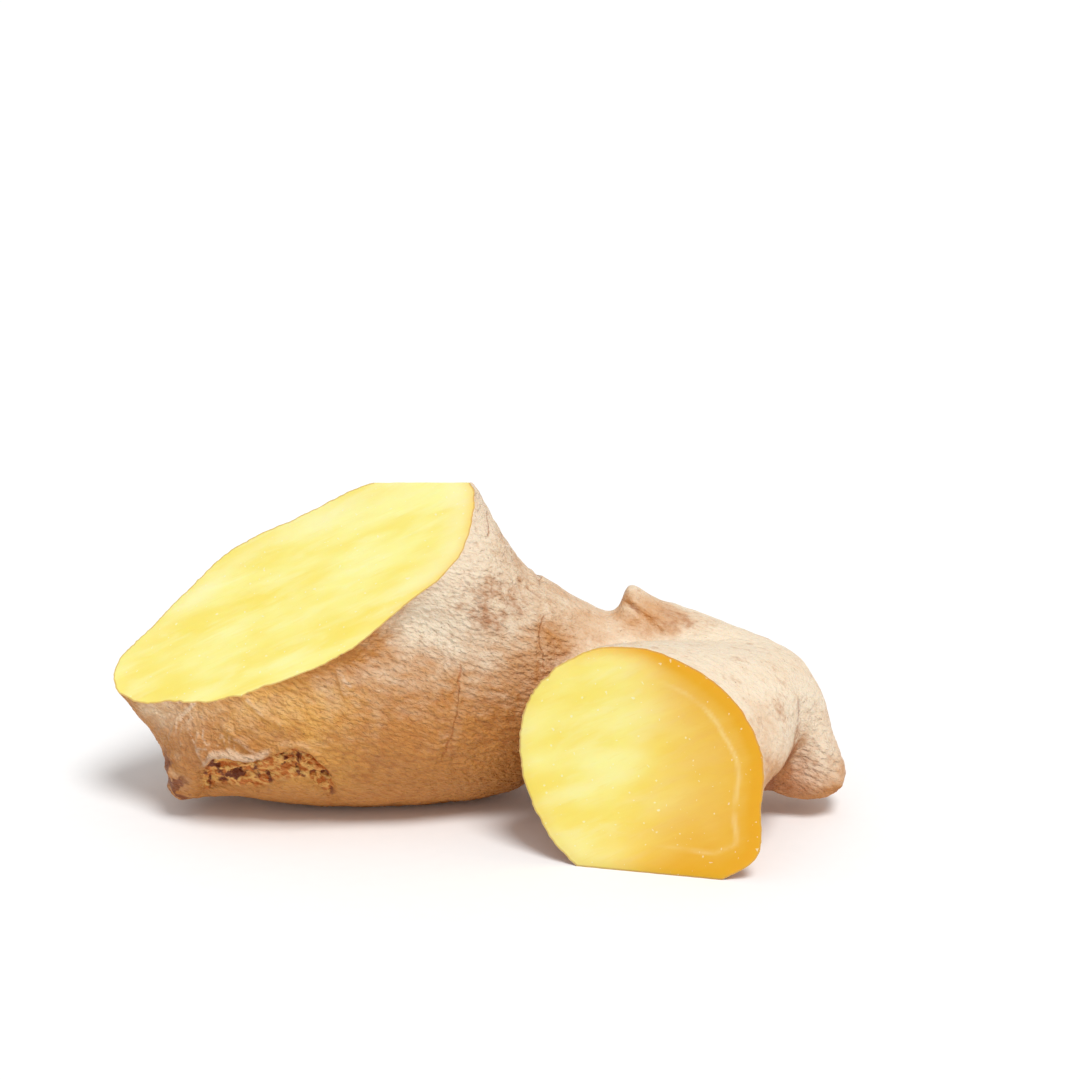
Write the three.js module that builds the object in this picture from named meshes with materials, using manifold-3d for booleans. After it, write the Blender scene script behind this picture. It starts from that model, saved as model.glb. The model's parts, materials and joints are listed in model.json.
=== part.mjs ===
// A fresh ginger root, cut twice: one long slanting cut lays the big left-hand knuckle open, and the thick
// finger that grew forward on the right is sliced off short. It is one solid, because it grew as one piece.
// Millimetres, +Z up. X runs along the root, and the cut finger comes forward along -Y.
import * as THREE from "three";
import { mergeVertices } from "three/addons/utils/BufferGeometryUtils.js";
import Module from "manifold-3d";

const wasm = await Module();
wasm.setup();

// Driving dimensions.
const ROOT_LENGTH = 152.4; // tip to tip along X
const ROOT_GIRTH = 48.6; // height of the main stem at its thickest
const REST_TRIM = 4.1; // depth of the flat on the lowest finger, where the root rests
const SEGMENTS_AROUND = 40; // facets round a finger
const RINGS_PER_SPAN = 5; // sections between two stations of a finger
const CAP_RINGS = 5; // sections in a finger's rounded end

// The stations and cuts below are drawn for this length and girth.
const STRETCH = ROOT_LENGTH / 152.4;
const SWELL = ROOT_GIRTH / 48.6;

// Each finger of the root is a soft tube. A station gives the centre of a section, its half width across the
// path (side), its half height (up) and how far it rolls about the path (degrees). blunt is how far each
// rounded end stands out, as a share of its radius. cut names the flat cut that slices the finger.
const FINGERS = {
  // The old main stem, lying along X from the snapped left end to the waist.
  main_stem: {
    cut: "long_cut",
    blunt: [0.25, 0.6],
    stations: [
      { at: [-61, 11, 13], side: 13, up: 11.5 },
      { at: [-50, 11, 18], side: 18.5, up: 17 },
      { at: [-30, 11.5, 21.5], side: 20.5, up: 22.3 },
      { at: [-8, 12.5, 23.5], side: 20, up: 24.3 },
      { at: [10, 13, 26.5], side: 17, up: 22.5 },
      { at: [26, 14, 25], side: 13, up: 14 },
      { at: [42, 13, 21], side: 13, up: 13.5 },
    ],
  },
  // The flank under the left end of the knuckle.
  flank: {
    cut: "long_cut",
    blunt: [0.8, 0.8],
    stations: [
      { at: [-67, 10, 25], side: 8, up: 6 },
      { at: [-60, 10, 19], side: 11, up: 7.5 },
    ],
  },
  // The big knuckle on top of the stem, which the long cut lays open.
  knuckle: {
    cut: "long_cut",
    blunt: [0.8, 0.85],
    stations: [
      { at: [-71, 10.5, 28.3], side: 6.5, up: 6 },
      { at: [-60.5, 10.5, 33.7], side: 13, up: 12.5 },
      { at: [-51.5, 11, 38], side: 17.5, up: 16 },
      { at: [-44, 11.3, 42], side: 20, up: 18.5 },
      { at: [-31, 11, 47.7], side: 20.5, up: 19.5 },
      { at: [-19, 14.5, 54], side: 18, up: 17.5 },
    ],
  },
  // The rise between the knuckle and the waist.
  saddle: {
    cut: "long_cut",
    blunt: [0.6, 0.7],
    stations: [
      { at: [-12, 18, 62], side: 13, up: 12.5 },
      { at: [-6, 15, 48], side: 15.5, up: 14 },
      { at: [4, 13, 32], side: 16, up: 15 },
    ],
  },
  // A finger behind, snapped off at its left end.
  rear_finger: {
    blunt: [0.1, 0.7],
    stations: [
      { at: [28.3, 18, 31.3], side: 9, up: 13 },
      { at: [43, 17, 27.5], side: 12, up: 11.5 },
      { at: [57, 12, 21.7], side: 13, up: 12.2 },
      { at: [63.5, 9, 17.5], side: 10, up: 10 },
    ],
  },
  // The thick finger that comes forward, which is sliced off.
  front_finger: {
    cut: "finger_cut",
    blunt: [0.4, 0.8],
    stations: [
      { at: [16, -42, 20], side: 26.5, up: 20.5, roll: 48 },
      { at: [34.2, -18, 20], side: 26.5, up: 20.5, roll: 48 },
      { at: [45.5, -4, 20.5], side: 21, up: 18.5, roll: 35 },
      { at: [56, 6, 19], side: 14, up: 16, roll: 0 },
    ],
  },
  // The short blunt tip at the far right, pointing down.
  right_tip: {
    blunt: [0.8, 0.5],
    stations: [
      { at: [61, 9, 19], side: 10, up: 10 },
      { at: [66.2, 7.5, 13], side: 8, up: 7.8 },
      { at: [71, 4.5, 5.5], side: 7, up: 6.5 },
    ],
  },
};

// The flat cuts, each by a point on it and the direction it faces.
const CUTS = {
  long_cut: { through: [-28.5, 9.4, 48], facing: [-0.38, -0.5, 0.78] },
  finger_cut: { through: [48.5, -27.7, 0], facing: [-0.203, -0.943, 0.266] },
  top_trim: { through: [-12, 24, 64.8], facing: [0, 0.324, 0.946] },
};

// A smooth curve through one value per station.
function throughStations(stations, value) {
  return new THREE.CatmullRomCurve3(stations.map((station) => new THREE.Vector3(...value(station))));
}

// A finger as a closed shell: a sphere's rows and columns of points, laid out along the path instead.
function fingerShell({ stations, blunt }) {
  const path = throughStations(stations, (s) => [s.at[0] * STRETCH, s.at[1], s.at[2]]);
  const girth = throughStations(stations, (s) => [s.side * SWELL, s.up * SWELL, s.roll ?? 0]);
  const spanRings = (stations.length - 1) * RINGS_PER_SPAN;
  const rows = spanRings + 2 * CAP_RINGS;
  const shell = new THREE.SphereGeometry(1, SEGMENTS_AROUND, rows);
  const position = shell.getAttribute("position");
  for (let row = 0; row <= rows; row++) {
    // Rows in the two caps swing between pole and rim; the rows between them travel along the path.
    const intoStart = Math.max(0, CAP_RINGS - row) / CAP_RINGS;
    const intoEnd = Math.max(0, row - CAP_RINGS - spanRings) / CAP_RINGS;
    const swing = (Math.PI / 2) * (intoStart + intoEnd);
    const t = THREE.MathUtils.clamp((row - CAP_RINGS) / spanRings, 0, 1);
    const along = path.getTangent(t);
    const size = girth.getPoint(t);
    const bluntness = intoStart > 0 ? -blunt[0] : blunt[1];
    const centre = path.getPoint(t);
    centre.addScaledVector(along, bluntness * Math.sin(swing) * Math.min(size.x, size.y));
    const side = new THREE.Vector3(0, 0, 1).cross(along).normalize();
    side.applyAxisAngle(along, THREE.MathUtils.degToRad(size.z));
    const up = along.clone().cross(side);
    const full = row === 0 || row === rows ? 0 : Math.cos(swing);
    for (let column = 0; column <= SEGMENTS_AROUND; column++) {
      const angle = (-2 * Math.PI * (column % SEGMENTS_AROUND)) / SEGMENTS_AROUND;
      const point = centre.clone();
      point.addScaledVector(side, full * size.x * Math.cos(angle));
      point.addScaledVector(up, full * size.y * Math.sin(angle));
      position.setXYZ(row * (SEGMENTS_AROUND + 1) + column, point.x, point.y, point.z);
    }
  }
  return shell;
}

// A block that fills everything in front of a flat cut.
function blockInFront({ through, facing }) {
  const size = 400;
  const outward = new THREE.Vector3(...facing).normalize();
  const middle = new THREE.Vector3(through[0] * STRETCH, through[1], through[2]);
  middle.addScaledVector(outward, size / 2);
  const block = new THREE.BoxGeometry(size, size, size);
  block.applyQuaternion(new THREE.Quaternion().setFromUnitVectors(new THREE.Vector3(0, 0, 1), outward));
  block.translate(middle.x, middle.y, middle.z);
  return block;
}

// A closed geometry as a solid that can be joined and cut.
function toSolid(geometry) {
  geometry.deleteAttribute("normal");
  geometry.deleteAttribute("uv");
  const welded = mergeVertices(geometry, 1e-4);
  const mesh = new wasm.Mesh({
    numProp: 3,
    vertProperties: welded.getAttribute("position").array,
    triVerts: new Uint32Array(welded.index.array),
  });
  return new wasm.Manifold(mesh);
}

// A solid back as a geometry that can be drawn.
function toGeometry(solid) {
  const mesh = solid.getMesh();
  const geometry = new THREE.BufferGeometry();
  geometry.setAttribute("position", new THREE.BufferAttribute(mesh.vertProperties, mesh.numProp));
  geometry.setIndex(new THREE.BufferAttribute(mesh.triVerts, 1));
  geometry.computeVertexNormals();
  return geometry;
}

// One finger, sliced off by its own cut where it has one.
function cutFinger(finger) {
  const whole = toSolid(fingerShell(finger));
  return finger.cut ? whole.subtract(toSolid(blockInFront(CUTS[finger.cut]))) : whole;
}

// The fingers grown together, shaved on top and flattened underneath, standing on z = 0 about the Z axis.
function gingerRootGeometry() {
  const fingers = Object.values(FINGERS).map(cutFinger);
  let root = fingers.reduce((grown, finger) => grown.add(finger));
  root = root.subtract(toSolid(blockInFront(CUTS.top_trim)));
  const floor = root.boundingBox().min[2] + REST_TRIM;
  root = root.subtract(toSolid(blockInFront({ through: [0, 0, floor], facing: [0, 0, -1] })));
  const { min, max } = root.boundingBox();
  const geometry = toGeometry(root);
  geometry.translate(-(min[0] + max[0]) / 2, -(min[1] + max[1]) / 2, -min[2]);
  return geometry;
}

const skin = new THREE.MeshStandardMaterial({ color: 0xd9bd98, roughness: 0.75, metalness: 0 });
const gingerRoot = new THREE.Mesh(gingerRootGeometry(), skin);
gingerRoot.name = "ginger_root";

const model = new THREE.Group();
model.add(gingerRoot);
export default model;
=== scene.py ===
# %% [markdown]
# # A ginger root, cut twice
#
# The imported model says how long, deep and high the root is and where its flat cuts lie. This script grows
# the real-looking root inside that frame: swollen fingers that run into each other, a skin with growth
# rings, wrinkles and an old tear, and moist yellow flesh on the cuts.

import json
import math

import bmesh
import bpy
import numpy as np
from mathutils import Matrix, Vector


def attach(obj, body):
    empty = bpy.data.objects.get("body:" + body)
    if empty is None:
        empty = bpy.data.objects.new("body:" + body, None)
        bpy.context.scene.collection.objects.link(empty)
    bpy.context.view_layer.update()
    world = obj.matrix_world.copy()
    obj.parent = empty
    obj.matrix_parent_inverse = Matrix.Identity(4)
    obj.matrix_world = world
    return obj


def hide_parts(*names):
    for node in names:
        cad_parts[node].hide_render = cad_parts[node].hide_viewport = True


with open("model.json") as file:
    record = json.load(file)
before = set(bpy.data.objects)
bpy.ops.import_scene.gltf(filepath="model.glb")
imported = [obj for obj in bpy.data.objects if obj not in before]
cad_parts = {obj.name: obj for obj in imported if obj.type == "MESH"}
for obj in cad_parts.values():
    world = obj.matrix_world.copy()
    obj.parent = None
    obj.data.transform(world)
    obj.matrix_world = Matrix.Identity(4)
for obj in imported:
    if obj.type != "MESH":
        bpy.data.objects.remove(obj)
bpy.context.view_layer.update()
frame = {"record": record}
MM = 0.001

# %% [markdown]
# ## Where the cuts are
#
# A cut is a plane: a point on it and the way it faces. The record holds them as mounts. The fingers below
# are drawn in millimetres about a point of their own, so the drawing is moved until its two big cuts and
# its table meet at the same corner as the frame's. Measuring the offset by hand would work too, but would
# go stale when the frame changes.

# %% Match the drawing to the frame
MOUNTS = {mount["name"]: mount for mount in frame["record"]["mounts"]}


def frame_plane(name):
    """A mount's point in mm and its unit axis."""
    axis = np.array(MOUNTS[name]["axis"], float)
    return np.array(MOUNTS[name]["pos_m"], float) / MM, axis / np.linalg.norm(axis)


def corner_of(planes):
    """The point that lies on three planes: normal . x = normal . point, solved for x."""
    normals = np.array([facing for _, facing in planes])
    return np.linalg.solve(normals, np.array([facing @ point for point, facing in planes]))


LONG_CUT, FINGER_CUT, TOP_TRIM = (frame_plane(name) for name in ("long_cut", "finger_cut", "top_trim"))
TABLE = (np.zeros(3), np.array([0.0, 0.0, 1.0]))
DRAWN_LONG_CUT = (np.array([-28.5, 9.4, 48.0]), LONG_CUT[1])
DRAWN_FINGER_CUT = (np.array([48.5, -27.7, 0.0]), FINGER_CUT[1])
OFFSET = corner_of((LONG_CUT, FINGER_CUT, TABLE)) - corner_of((DRAWN_LONG_CUT, DRAWN_FINGER_CUT, TABLE))
print("the drawing moves by", OFFSET.round(2), "mm")

# %% [markdown]
# ## The fingers
#
# A ginger root is a row of swollen stems that branch from each other. Each finger is an oval carried
# along a smooth path: a station gives the middle of the oval, its half width across the path, its half
# height and how far it rolls about the path, in millimetres and degrees. Metaballs or a subdivided cage
# could give the same lumps, but stations say plainly how thick the root is at each place.

# %% Draw the fingers
# columns: x, y, z, side, up, roll; ends: how far each rounded end stands out, as a share of its radius
FINGERS = {
    "main_stem": {
        "ends": (0.25, 0.6),
        "stations": [
            (-61, 11, 13, 13, 11.5, 0),
            (-50, 11, 18, 18.5, 17, 0),
            (-30, 11.5, 21.5, 20.5, 22.3, 0),
            (-8, 12.5, 23.5, 20, 24.3, 0),
            (10, 13, 26.5, 17, 22.5, 0),
            (26, 14, 25, 13, 14, 0),
            (42, 13, 21, 13, 13.5, 0),
        ],
    },
    "flank": {
        "ends": (0.8, 0.8),
        "stations": [(-67, 10, 25, 8, 6, 0), (-60, 10, 19, 11, 7.5, 0)],
    },
    "knuckle": {
        "ends": (0.8, 0.85),
        "stations": [
            (-71, 10.5, 28.3, 6.5, 6, 0),
            (-60.5, 10.5, 33.7, 13, 12.5, 0),
            (-51.5, 11, 38, 17.5, 16, 0),
            (-44, 11.3, 42, 20, 18.5, 0),
            (-31, 11, 47.7, 20.5, 19.5, 0),
            (-19, 14.5, 54, 18, 17.5, 0),
        ],
    },
    "saddle": {
        "ends": (0.6, 0.7),
        "stations": [(-12, 18, 62, 13, 12.5, 0), (-6, 15, 48, 15.5, 14, 0), (4, 13, 32, 16, 15, 0)],
    },
    "rear_finger": {
        "ends": (0.1, 0.7),
        "stations": [
            (28.3, 18, 31.3, 9, 13, 0),
            (43, 17, 27.5, 12, 11.5, 0),
            (57, 12, 21.7, 13, 12.2, 0),
            (63.5, 9, 17.5, 10, 10, 0),
        ],
    },
    "front_finger": {
        "ends": (0.4, 0.8),
        "stations": [
            (16, -42, 20, 26.5, 20.5, 48),
            (34.2, -18, 20, 26.5, 20.5, 48),
            (45.5, -4, 20.5, 21, 18.5, 35),
            (56, 6, 19, 14, 16, 0),
        ],
    },
    "right_tip": {
        "ends": (0.8, 0.5),
        "stations": [(61, 9, 19, 10, 10, 0), (66.2, 7.5, 13, 8, 7.8, 0), (71, 4.5, 5.5, 7, 6.5, 0)],
    },
}
AROUND = 96  # points round a finger
PER_SPAN = 16  # sections between two stations
IN_CAP = 14  # sections in a rounded end
NUDGE = 0.01  # share of a span, for measuring which way a path goes


def through(stations, t):
    """A smooth curve through the rows: between two rows it is the cubic whose slope at each row is half the
    step from the row before it to the row after it (Catmull-Rom). t counts rows."""
    rows = np.vstack([2 * stations[0] - stations[1], stations, 2 * stations[-1] - stations[-2]])
    span = np.clip(t.astype(int), 0, len(stations) - 2)
    u = (t - span)[:, None]
    a, b, c, d = (rows[span + step] for step in range(4))
    return b + 0.5 * u * (c - a + u * (2 * a - 5 * b + 4 * c - d + u * (3 * (b - c) + d - a)))


def finger_surface(stations, ends):
    """Grid of points on a finger. A row is an oval: middle + side cos(angle) across + up sin(angle) upward.
    In a rounded end the oval shrinks as cos(swing) while its middle moves out as sin(swing)."""
    stations = np.array(stations, float)
    last = len(stations) - 1
    body = np.linspace(0, last, PER_SPAN * last + 1)
    cap = np.linspace(math.pi / 2, 0, IN_CAP, endpoint=False)
    t = np.concatenate([np.zeros(IN_CAP), body, np.full(IN_CAP, last)])
    swing = np.concatenate([cap, np.zeros(len(body)), cap[::-1]])
    outward = np.concatenate([np.full(IN_CAP, -ends[0]), np.zeros(len(body)), np.full(IN_CAP, ends[1])])
    rows = through(stations, t)
    ahead, behind = (through(stations, np.clip(t + step, 0, last)) for step in (NUDGE, -NUDGE))
    along = (ahead - behind)[:, :3]
    along /= np.linalg.norm(along, axis=1, keepdims=True)
    side = np.cross([0.0, 0.0, 1.0], along)
    side /= np.linalg.norm(side, axis=1, keepdims=True)
    up = np.cross(along, side)
    roll = np.radians(rows[:, 5:6])
    across = side * np.cos(roll) + up * np.sin(roll)
    upward = up * np.cos(roll) - side * np.sin(roll)
    radius = np.minimum(rows[:, 3], rows[:, 4])
    middle = rows[:, :3] + along * (outward * np.sin(swing) * radius)[:, None]
    shrink = np.cos(swing)[:, None, None]
    angle = np.linspace(0, 2 * math.pi, AROUND, endpoint=False)[None, :, None]
    oval = across[:, None] * rows[:, None, 3:4] * np.cos(angle)
    oval = oval + upward[:, None] * rows[:, None, 4:5] * np.sin(angle)
    return middle[:, None] + shrink * oval


def grid_faces(rows, columns):
    """Quads between neighbouring rows of a grid whose columns close on themselves."""
    row, column = np.meshgrid(np.arange(rows - 1), np.arange(columns), indexing="ij")
    corner = row * columns + column
    beside = row * columns + (column + 1) % columns
    return np.stack([corner, beside, beside + columns, corner + columns], -1).reshape(-1, 4)


def make_mesh(name, points, faces):
    """A mesh object from arrays of points and faces."""
    mesh = bpy.data.meshes.new(name)
    mesh.from_pydata(points.tolist(), [], faces.tolist())
    mesh.validate()
    thing = bpy.data.objects.new(name, mesh)
    bpy.context.scene.collection.objects.link(thing)
    return thing


shells, shell_faces, count = [], [], 0
for name, finger in FINGERS.items():
    surface = finger_surface(finger["stations"], finger["ends"])
    shells.append(surface.reshape(-1, 3))
    shell_faces.append(grid_faces(*surface.shape[:2]) + count)
    count += len(shells[-1])
fingers = make_mesh("fingers", np.vstack(shells) + OFFSET, np.vstack(shell_faces))
print(len(FINGERS), "fingers,", count, "points")

# %% [markdown]
# ## One skin over all the fingers
#
# The fingers are one flesh, so their shells become one surface. A voxel remesh fills the volume and wraps
# a new even grid round it; a boolean join would be exact, but it leaves knife-sharp creases and uneven
# faces. The creases are then relaxed: each point moves half way to the middle of its neighbours, many
# times over.

# %% Fuse and relax
VOXEL = 0.6  # mm
RELAX_ROUNDS = 120


def evaluated_arrays(thing):
    """The mesh of an object with its modifiers applied, as points and quads."""
    final = thing.evaluated_get(bpy.context.evaluated_depsgraph_get()).to_mesh()
    points = np.zeros(len(final.vertices) * 3)
    final.vertices.foreach_get("co", points)
    quads = np.zeros(len(final.loops), int)
    final.loops.foreach_get("vertex_index", quads)
    return points.reshape(-1, 3), quads.reshape(-1, 4)


def edges_of(quads):
    """Each edge of the quads once, as pairs of points."""
    pairs = np.sort(np.vstack([quads[:, [i, (i + 1) % 4]] for i in range(4)]), axis=1)
    return np.unique(pairs, axis=0)


def relax(points, edges, rounds):
    """Each round moves a point half way to the mean of its neighbours."""
    ends = np.concatenate([edges[:, 0], edges[:, 1]])
    others = np.concatenate([edges[:, 1], edges[:, 0]])
    degree = np.bincount(ends, minlength=len(points))[:, None]
    for _ in range(rounds):
        total = np.stack([np.bincount(ends, points[others, axis], len(points)) for axis in range(3)], 1)
        points = points + 0.5 * (total / degree - points)
    return points


def normals_of(points, quads):
    """Unit normal at each point: the cross product of each quad's diagonals, summed over its corners."""
    face = np.cross(points[quads[:, 2]] - points[quads[:, 0]], points[quads[:, 3]] - points[quads[:, 1]])
    shares = [np.bincount(quads.ravel(), np.repeat(face[:, axis], 4), len(points)) for axis in range(3)]
    total = np.stack(shares, 1)
    return total / np.linalg.norm(total, axis=1, keepdims=True)


fuse = fingers.modifiers.new("fuse", "REMESH")
fuse.mode = "VOXEL"
fuse.voxel_size = VOXEL
points, quads = evaluated_arrays(fingers)
bpy.data.objects.remove(fingers)
edges = edges_of(quads)
points = relax(points, edges, RELAX_ROUNDS)
print("one skin of", len(points), "points and", len(quads), "quads")

# %% [markdown]
# ## Uneven growth
#
# Nothing that grew is as smooth as the drawing. The next cells add slow swells, growth rings where the
# scale leaves sat, creases where one finger buds from another, and wrinkles. Each is a height added along
# the normal, so they can be read and changed one by one, which sculpting by brush would not allow. The
# tools come first: noise, soft spots, lines and ramps, all worked out for every point at once.

# %% Tools for heights
def noise(places, size, seed=0):
    """Gradient noise from -1 to 1: random slopes at the corners of a lattice of cells of that size (one
    number, or one per axis), blended by the curve 6t^5 - 15t^4 + 10t^3."""
    scaled = places / np.asarray(size, float) + 1000.0
    cell = np.floor(scaled).astype(np.int64)
    inside = scaled - cell
    fade = inside**3 * (inside * (inside * 6 - 15) + 10)
    total = np.zeros(len(places))
    for corner in np.ndindex(2, 2, 2):
        spot = cell + corner
        key = spot[:, 0] * 73856093 ^ spot[:, 1] * 19349663 ^ spot[:, 2] * 83492791 ^ (seed * 2654435761)
        key = (key ^ (key >> 13)) * 1274126177 & 0xFFFFFFFF
        key = (key ^ (key >> 15)) * 2246822519 & 0xFFFFFFFF
        slope = np.stack([(key >> shift & 255) / 127.5 - 1 for shift in (0, 8, 16)], 1)
        blend = np.prod(np.where(corner, fade, 1 - fade), axis=1)
        total += blend * np.sum(slope * (inside - corner), axis=1)
    return total * 1.6


def layered(places, size, layers=3, seed=0):
    """Noise at one size, plus half as much at half the size, and so on."""
    size = np.asarray(size, float)
    return sum(noise(places, size / 2**layer, seed + layer) / 2**layer for layer in range(layers))


def near(places, middle, reach):
    """1 at a point, falling as exp(-(distance / reach)^2); reach may differ along x, y and z."""
    return np.exp(-np.sum(((places - np.asarray(middle, float)) / reach) ** 2, axis=1))


def patches(places, rows):
    """Sum of soft spots, one per row of amount, middle and reach."""
    return sum(amount * near(places, middle, reach) for amount, middle, reach in rows)


def bell(values, width):
    """1 where a value is 0, falling as exp(-(value / width)^2)."""
    return np.exp(-((values / width) ** 2))


def distance_to_line(places, line):
    """Distance in mm from each place to a line through a few points."""
    line = np.array(line, float)
    best = np.full(len(places), 1e9)
    for start, end in zip(line[:-1], line[1:]):
        step = end - start
        share = np.clip((places - start) @ step / (step @ step), 0, 1)
        best = np.minimum(best, np.linalg.norm(places - start - share[:, None] * step, axis=1))
    return best


def ramp(values, low, high):
    """0 below low, 1 above high, and a smooth step between; low may be the larger."""
    t = np.clip((values - low) / (high - low), 0, 1)
    return t * t * (3 - 2 * t)


# %% [markdown]
# ### Where the drawing needs a hand
#
# Seven tubes can't give every bump. A push moves the skin near one place by a vector, fading out softly,
# as a thumb would on clay. More stations would do it too, but each would bend a whole ring of skin.

# %% Push the lumps into place
# middle, reach and push, all in mm
PUSHES = [
    ((-61, 0, 3), (7, 12, 7), (-4.2, -3.5, -1.5)),  # square foot of the snapped left end
    ((56, -31, 5), (7, 6, 7), (4.5, 0.5, -1.5)),  # heel of the front finger
    ((59, -15, 8), (7, 8, 9), (-7.0, 0, 0)),  # hollow behind the heel
    ((59, -9, 3), (7, 8, 7), (-4, 0, 6.0)),  # arch under the shoulder
    ((71, 3, -1), (8, 9, 4), (0, 0, 2.6)),  # lifted tip
    ((60, -13, 20), (4, 6, 5), (1.0, -1.5, -0.8)),  # edge of the front lobe, hanging over the tip
    ((66, -5, 15), (4, 4, 5), (0, 2.5, 0)),  # side of the tip, tucked under it
    ((22, -33, 4), (10, 8, 8), (-2.5, 0, -2.5)),  # rounder toe of the front finger
    ((31, 19, 45), (4.5, 15, 4), (-1.2, 0, 3.8)),  # snapped corner of the finger behind
    ((64.5, 9, 25), (8, 10, 9), (0.4, 0, 1.8)),  # shoulder over the tip
    ((73, 6, 20), (6, 10, 7), (0.9, 0, 0)),  # fuller outer side of the tip
    ((65, 2, 7), (3.5, 6, 3.5), (-1.5, 0, -1.6)),  # lower inner side of the tip
    ((-61, -2, 0), (7, 10, 5), (-2.6, 0, -0.8)),  # corner of the snapped left end
    ((-14, -7, 41), (9, 8, 7), (0, 1.2, 0.4)),  # flatter cheek under the long cut
    ((-40, 38, 30), (13, 9, 12), (0, 1.0, 1.5)),  # lump on the back of the knuckle
    ((10, 32, 22), (10, 8, 10), (0, 1.6, 0.5)),  # bud behind the waist
]
drawn = points - OFFSET
for middle, reach, push in PUSHES:
    points = points + near(drawn, middle, reach)[:, None] * np.array(push, float)
print(len(PUSHES), "pushes")

# %% [markdown]
# ### The lobe that hangs over the tip
#
# The front finger's shoulder ends in an edge, and the tip comes out from under it. Relaxing has rounded
# that edge away. Here everything on the tip's side of a line steps back, deepest at the line and fading
# away from it. A crease alone would leave two equal banks, with neither over the other. The line is drawn
# as the camera sees it, looking down by twenty degrees: its heights are measured up a ruler that leans back
# by as much, and the step goes straight away from the camera.

# %% Tuck the tip under the lobe
LOOKING_DOWN = 20  # degrees, the camera's angle and the lean of the ruler
TILT = math.radians(LOOKING_DOWN)
BACKWARD = np.array([0.0, math.cos(TILT), -math.sin(TILT)])
UPWARD = np.array([0.0, math.sin(TILT), math.cos(TILT)])
EDGE_X = [58.6, 60.2, 62.3, 64.1, 65.0, 65.3, 65.3]  # the edge's x in mm ...
EDGE_UP = [9.6, 11.0, 13.4, 16.2, 19.4, 23.0, 26.5]  # ... at these heights up the ruler
TUCK_DEPTH = 3.6  # mm


def beyond_edge(places):
    """How far a place is past the lobe's edge, in mm: its x less the edge's x at its height up the ruler."""
    return places[:, 0] - np.interp(places @ UPWARD, EDGE_UP, EDGE_X)


def tucked(places):
    """1 just past the lobe's edge, fading over 4 mm, on the near side and between the edge's two ends."""
    past = beyond_edge(places)
    level = places @ UPWARD
    ends = ramp(level, 6.5, 10.5) * ramp(level, 27, 21)
    return ramp(past, -0.2, 0.9) * np.exp(-np.maximum(past, 0) / 4.0) * ends * ramp(places[:, 1], 7, 1)


def seam(places):
    """1 along the thin line that carries the lobe's edge on upwards, half a millimetre wide."""
    level = places @ UPWARD
    wander = beyond_edge(places) + 0.5 * noise(places, 2.5, 46)
    return bell(wander, 0.5) * ramp(level, 15, 18) * ramp(level, 28, 25) * ramp(places[:, 1], 7, 4)


drawn = points - OFFSET
points = points + TUCK_DEPTH * tucked(drawn)[:, None] * BACKWARD
print("tucked:", int((tucked(drawn) > 0.5).sum()), "points")

# %% [markdown]
# ### Tools for rings, creases and wrinkles
#
# A growth ring is a wobbly plane that the skin dips at. A crease follows a line of points instead.
# Wrinkles are ridged noise, 1 - |noise|, stretched along the way the skin shrank, and the puckers at the
# snapped end are the same, steeper. A displacement picture could hold all this, but it would need an
# unwrapped skin.

# %% Tools for rings, creases and wrinkles
DOWNHILL = math.radians(22)  # the wrinkles run down to the right by this much
PUCKER_TURN = 1.1  # radians more for the puckers


def across(places, point, facing, seed):
    """Signed distance in mm to a plane that wobbles: (place - point) . facing plus noise."""
    facing = np.array(facing, float) / np.linalg.norm(facing)
    return (places - np.array(point, float)) @ facing + 0.8 * noise(places, 9, seed)


def ring_zone(places, low, high, seed):
    """Where a ring can be seen: between two heights on the near side, here and there round the back."""
    in_front = ramp(places[:, 2], low - 2, low + 1) * ramp(places[:, 2], high + 2, high - 1)
    behind = ramp(noise(places, 14, seed), -0.25, 0.15)
    return np.where(places[:, 1] < 10, in_front, behind) * ramp(places[:, 0], 24, 18)


def ridged(places, size, seed=0, turn=0.0):
    """Narrow ridges: (1 - |noise|)^3 - 0.45, of noise that is longest down to the right."""
    turned = places @ np.array(Matrix.Rotation(turn, 3, "Y")) @ np.array(Matrix.Rotation(DOWNHILL, 3, "Y"))
    return (1 - np.clip(np.abs(noise(turned, size, seed)), 0, 1)) ** 3 - 0.45


def puckers(places):
    """Steep short ridges, as where dry skin is gathered."""
    return ridged(places, (5.0, 2.2, 1.9), 6, PUCKER_TURN)


def crease(places, line, depth, width):
    """A groove along a line: -depth exp(-(distance / width)^2). A negative depth is a ridge."""
    return -depth * bell(distance_to_line(places, line), width)


print("puckers are", round(math.degrees(PUCKER_TURN)), "degrees steeper than the wrinkles")

# %% [markdown]
# ### The torn hollow
#
# Low on the near side the skin has been torn away under a ragged lip. The lip is a curve, a height for
# each x, and the hollow is a band below it. A boolean would leave a clean edge, and a tear has none.

# %% Mark out the torn hollow
LIP_X = [-60, -54.8, -52.9, -49.4, -44.6, -41.4, -38.5, -35.6, -32.9, -30.2, -28.6, -25]  # mm
LIP_Z = [10, 14.0, 16.4, 16.7, 16.4, 17.9, 19.2, 19.8, 18.8, 15.4, 12.7, 8]  # mm
HOLLOW_DEPTH = 2.3  # mm


def under_lip(places):
    """How far below the torn lip a place on the near side is, in mm, with ragged noise."""
    return np.interp(places[:, 0], LIP_X, LIP_Z) - places[:, 2] + 0.5 * noise(places, 3.0, 41)


def tear(places):
    """1 inside the torn hollow: from the lip down about 7 mm, on the near side, fading at both ends."""
    below = under_lip(places)
    ends = ramp(places[:, 0], -57, -54) * ramp(places[:, 0], -27, -30.5)
    return ramp(below, -0.1, 0.9) * ramp(below, 9, 5.5) * ends * ramp(places[:, 1], 4, -1)


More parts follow.
